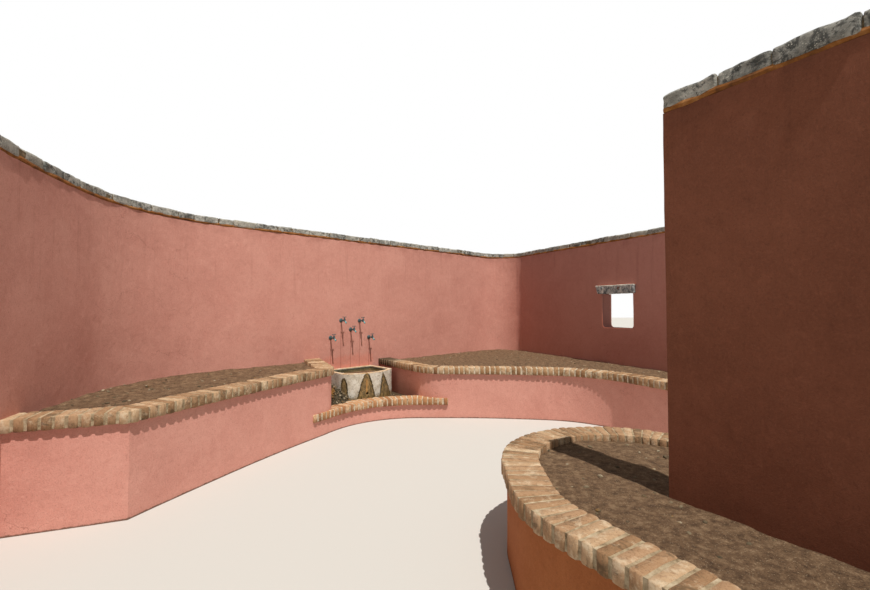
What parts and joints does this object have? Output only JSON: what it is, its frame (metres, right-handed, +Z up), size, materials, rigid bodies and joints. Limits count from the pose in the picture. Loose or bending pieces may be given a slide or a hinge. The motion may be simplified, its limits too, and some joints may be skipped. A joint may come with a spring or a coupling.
{
  "type": "curved garden wall with raised planters and a tap fountain",
  "caption": "Rendered garden wall, curved in plan, with a stone coping, a window, raised planters with brick caps and a wall fountain of bronze taps over a stone basin.",
  "frame": {"origin": "on the ground, in the middle of the wall's thickness, below the middle of the fountain", "axes": "+Z up; +Y the way the picture looks; +X to its right; the fountain wall runs 43.4 degrees anticlockwise from +X"},
  "size_m": [7.3125, 8.9399, 2.7],
  "materials": {
    "pink_render": "rough painted lime render, matte",
    "brown_render": "rough painted lime render, matte",
    "limestone": "rough hewn, weathered",
    "ochre_mortar": "rough lime mortar, matte",
    "lintel_stone": "rough hewn, weathered",
    "brick": "worn clay brick, matte",
    "basin_stone": "worn, stained, matte",
    "soil": "loose earth, matte",
    "bronze": "verdigris over dark bronze"
  },
  "bodies": {
    "garden_wall": {"left_end_wall": "pink_render", "left_curve_wall": "pink_render", "fountain_wall": "pink_render", "back_wall": "pink_render", "corner_wall": "pink_render", "right_wall": "pink_render", "window_wall": "pink_render", "right_end_wall": "pink_render", "window_lintel": "lintel_stone", "left_mortar_bed": "ochre_mortar", "back_mortar_bed": "ochre_mortar", "right_mortar_bed": "ochre_mortar", "left_coping": "limestone", "back_coping": "limestone", "right_coping": "limestone", "left_planter_end_wall": "pink_render", "left_planter_front_wall": "pink_render", "left_planter_side_wall": "pink_render", "left_planter_cap": "brick", "left_planter_soil": "soil", "right_planter_side_wall": "pink_render", "right_planter_front_wall": "pink_render", "right_planter_far_wall": "pink_render", "right_planter_end_wall": "pink_render", "right_planter_cap": "brick", "right_planter_soil": "soil", "curb_wall": "pink_render", "curb_cap": "brick", "niche_soil": "soil", "basin": "basin_stone", "tap_bodies": "bronze", "inner_wall": "brown_render", "inner_mortar_bed": "ochre_mortar", "inner_coping": "limestone", "inner_planter_wall": "brown_render", "inner_planter_cap": "brick", "inner_planter_soil": "soil"},
    "tap_handle_1": {"tap_handle_1": "bronze"},
    "tap_handle_2": {"tap_handle_2": "bronze"},
    "tap_handle_3": {"tap_handle_3": "bronze"},
    "tap_handle_4": {"tap_handle_4": "bronze"},
    "tap_handle_5": {"tap_handle_5": "bronze"}
  },
  "joints": [
    {"name": "tap_1_turn", "type": "hinge", "parent": "garden_wall", "child": "tap_handle_1", "pos_m": [-0.1142, -0.39592, 1.12336], "axis": [0, 0, 1], "range_deg": [0, 90]},
    {"name": "tap_2_turn", "type": "hinge", "parent": "garden_wall", "child": "tap_handle_2", "pos_m": [0.01659, -0.27224, 1.38336], "axis": [0, 0, 1], "range_deg": [0, 90]},
    {"name": "tap_3_turn", "type": "hinge", "parent": "garden_wall", "child": "tap_handle_3", "pos_m": [0.14374, -0.152, 1.23836], "axis": [0, 0, 1], "range_deg": [0, 90]},
    {"name": "tap_4_turn", "type": "hinge", "parent": "garden_wall", "child": "tap_handle_4", "pos_m": [0.26362, -0.03863, 1.37336], "axis": [0, 0, 1], "range_deg": [0, 90]},
    {"name": "tap_5_turn", "type": "hinge", "parent": "garden_wall", "child": "tap_handle_5", "pos_m": [0.39441, 0.08505, 1.10336], "axis": [0, 0, 1], "range_deg": [0, 90]}
  ]
}
